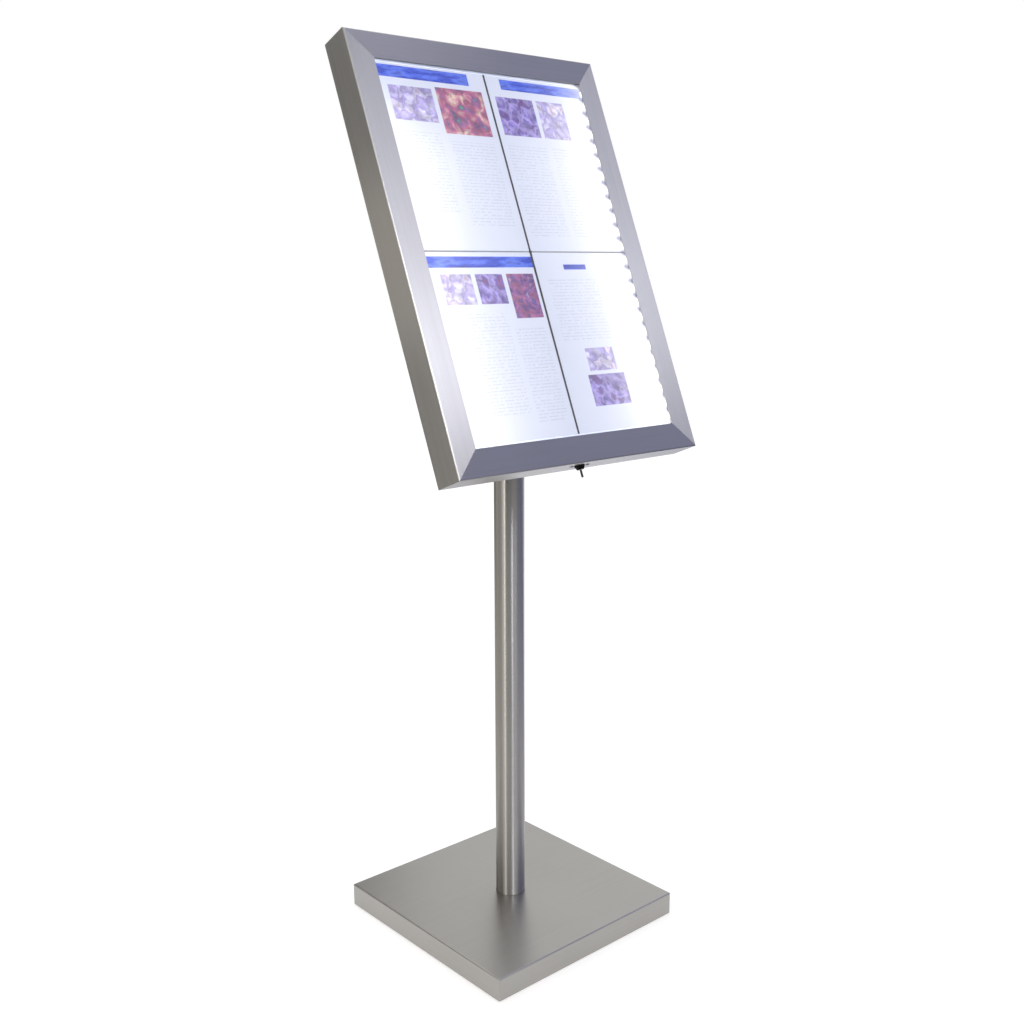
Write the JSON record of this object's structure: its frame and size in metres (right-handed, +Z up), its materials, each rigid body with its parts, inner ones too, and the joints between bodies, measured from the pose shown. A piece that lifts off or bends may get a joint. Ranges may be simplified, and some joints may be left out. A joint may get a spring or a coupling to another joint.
{
  "type": "illuminated poster case",
  "caption": "Free-standing poster case with a leaning, lockable steel frame, clear front and edge-lit back, on a round post with a weighted square base.",
  "frame": {"origin": "on the floor, on the post's axis, at the middle of the base", "axes": "+Z up along the post, -Y the way the case faces, +X to the right as seen from the front"},
  "size_m": [0.51, 0.4, 1.4667],
  "materials": {
    "brushed_steel": "brushed",
    "plain_steel": "mill",
    "zinc_plate": "bright zinc",
    "raw_steel": "black primer",
    "foot_rubber": "matt",
    "foam_tape": "matt",
    "black_plastic": "satin",
    "grey_plastic": "satin",
    "black_metal": "satin",
    "plug_brass": "satin",
    "white_paint": "satin",
    "lit_acrylic": "dotted",
    "clear_pane": "clear",
    "strip_board": "white solder mask",
    "led_lens": "lit",
    "lit_paper": "printed, lit from behind",
    "driver_case": "anodised",
    "terminal_plastic": "plain",
    "wire_jacket": "plain",
    "rocker_plastic": "gloss"
  },
  "bodies": {
    "stand": {"base_cover": "brushed_steel", "post_tube": "brushed_steel", "back_panel": "plain_steel", "bracket_left": "plain_steel", "bracket_right": "plain_steel", "hinge_leaf_back": "plain_steel", "lock_keeper": "plain_steel", "base_screws": "zinc_plate", "post_bolts": "zinc_plate", "cross_bolts": "zinc_plate", "bracket_bolts": "zinc_plate", "bracket_nuts": "zinc_plate", "panel_rivets": "zinc_plate", "driver_screws": "zinc_plate", "hinge_pin": "zinc_plate", "ballast_plate": "raw_steel", "post_plug": "raw_steel", "rubber_feet": "foot_rubber", "post_cap": "black_plastic", "cable_gland": "black_plastic", "gland_nut": "black_plastic", "switch_housing": "black_plastic", "divider_upright": "black_plastic", "divider_cross": "grey_plastic", "rail_left": "white_paint", "rail_right": "white_paint", "rail_top": "white_paint", "rail_bottom": "white_paint", "support_plate": "white_paint", "light_panel": "lit_acrylic", "led_strips": "strip_board", "led_chips": "led_lens", "page_upper_left": "lit_paper", "page_upper_right": "lit_paper", "page_lower_left": "lit_paper", "page_lower_right": "lit_paper", "led_driver": "driver_case", "terminal_block": "terminal_plastic", "wiring": "wire_jacket"},
    "door": {"hinge_leaf_door": "plain_steel", "frame_top": "brushed_steel", "frame_left": "brushed_steel", "frame_bottom": "brushed_steel", "frame_right": "brushed_steel", "glazing_pane": "clear_pane", "glazing_tape": "foam_tape", "glazing_clips": "plain_steel", "clip_nuts": "zinc_plate", "lock_body": "black_metal", "lock_nut": "zinc_plate", "lock_plate": "plain_steel", "lock_rivets": "zinc_plate"},
    "lock": {"lock_plug": "plug_brass", "lock_cam": "plain_steel", "cam_nut": "zinc_plate"},
    "key": {"key": "black_plastic"},
    "rocker": {"switch_rocker": "rocker_plastic"}
  },
  "joints": [
    {"name": "door_hinge", "type": "hinge", "parent": "stand", "child": "door", "pos_m": [0, 0.12251, 1.44427], "axis": [-1, 0, 0], "range_deg": [0, 95]},
    {"name": "lock_turn", "type": "hinge", "parent": "door", "child": "lock", "pos_m": [0, -0.16561, 0.82166], "axis": [0, -0.3746, -0.9272], "range_deg": [0, 90]},
    {"name": "key_pull", "type": "slide", "parent": "lock", "child": "key", "axis": [0, -0.3746, -0.9272], "range_m": [0, 0.03]},
    {"name": "switch_rock", "type": "hinge", "parent": "stand", "child": "rocker", "pos_m": [-0.14, -0.08233, 0.95303], "axis": [-1, 0, 0], "range_deg": [0, 16]}
  ]
}
